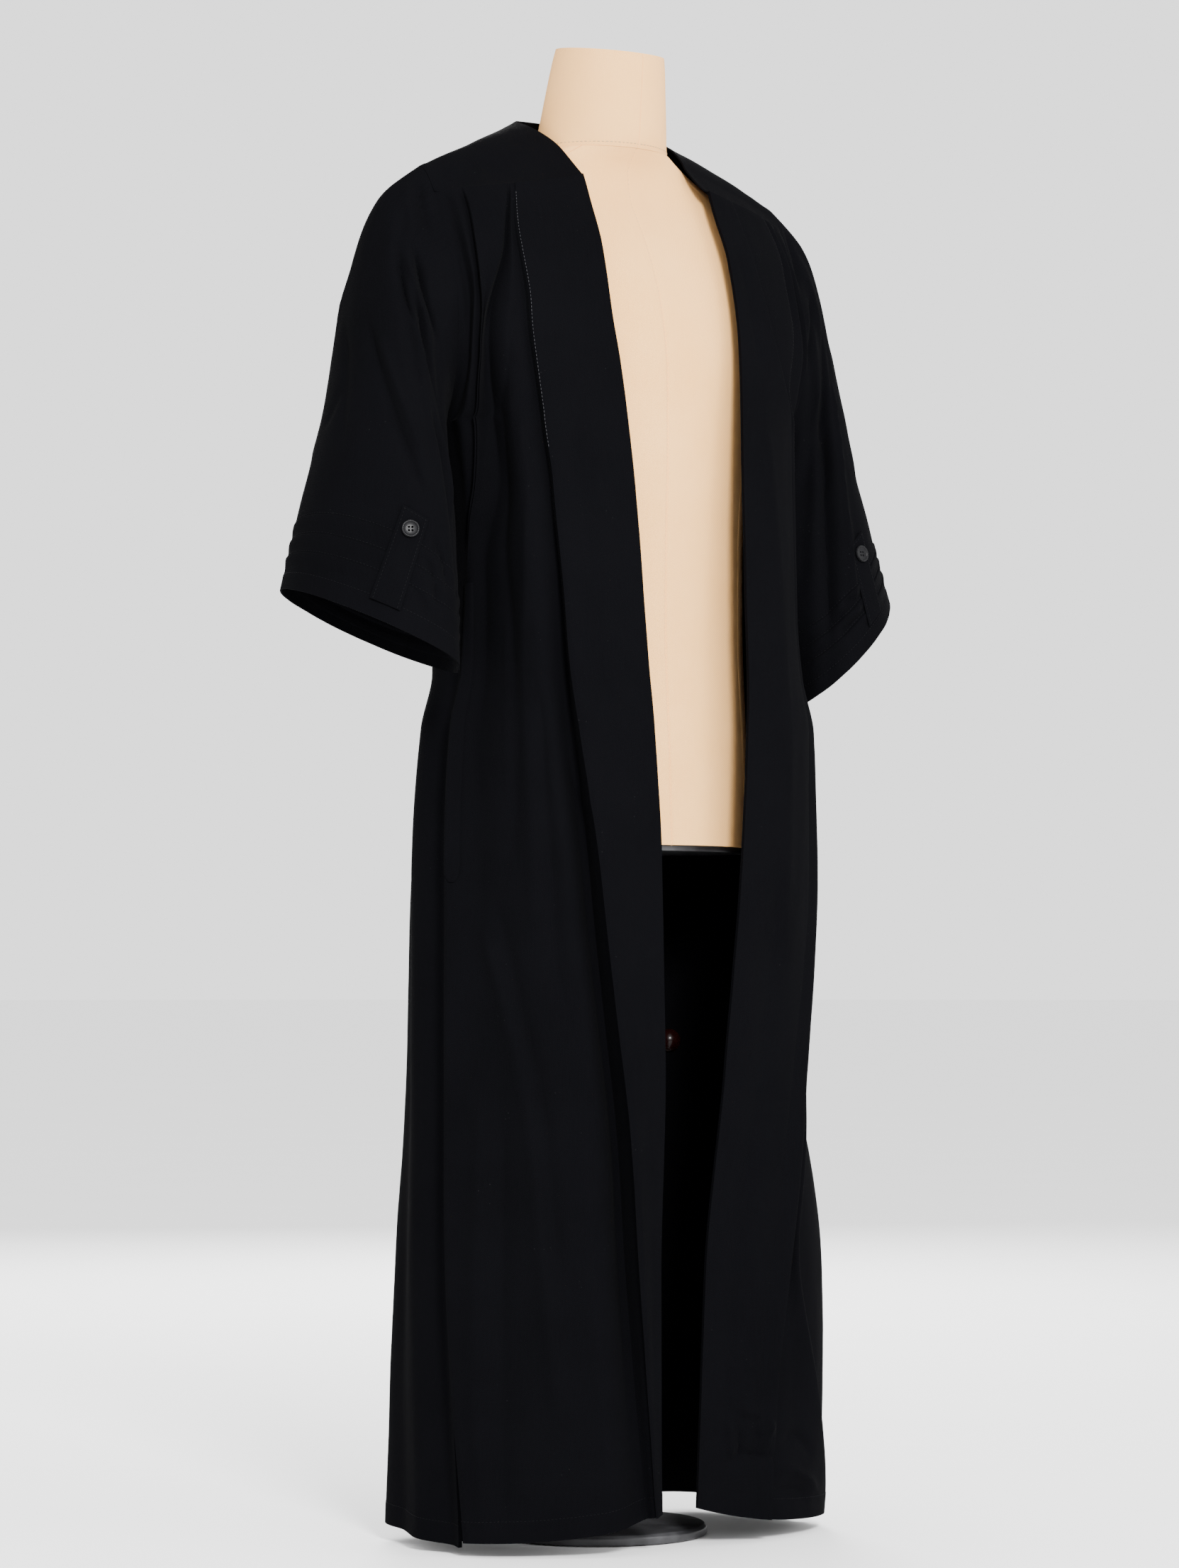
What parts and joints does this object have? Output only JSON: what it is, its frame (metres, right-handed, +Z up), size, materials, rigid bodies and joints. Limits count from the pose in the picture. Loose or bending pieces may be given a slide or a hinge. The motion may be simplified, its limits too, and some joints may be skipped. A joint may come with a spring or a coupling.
{
  "type": "barrister gown on a dress form",
  "caption": "Open black gown with a shoulder yoke, pleated panels, wide front bands and tabbed elbow-length sleeves, worn on a limbless dress form on a pole stand.",
  "frame": {"origin": "on the floor under the pole's axis, at the underside of the stand's base", "axes": "+Z up, -Y the way the wearer faces, -X the wearer's right"},
  "size_m": [0.6986, 0.3032, 1.4551],
  "materials": {
    "cloth": "matt black woven cloth",
    "button": "glossy near-black plastic",
    "linen": "plain cream linen",
    "stand_metal": "satin black paint",
    "knob": "glossy very dark red-brown"
  },
  "bodies": {
    "root": {"yoke": "cloth", "back": "cloth", "front_right": "cloth", "front_band_right": "cloth", "sleeve_right": "cloth", "sleeve_tab_right": "cloth", "pocket_welt_right": "cloth", "front_left": "cloth", "front_band_left": "cloth", "sleeve_left": "cloth", "sleeve_tab_left": "cloth", "pocket_welt_left": "cloth", "button_right": "button", "button_left": "button", "form_torso": "linen", "form_neck": "linen", "form_plate": "stand_metal", "stand_pole": "stand_metal", "stand_base": "stand_metal", "stand_knob": "knob"}
  },
  "joints": []
}
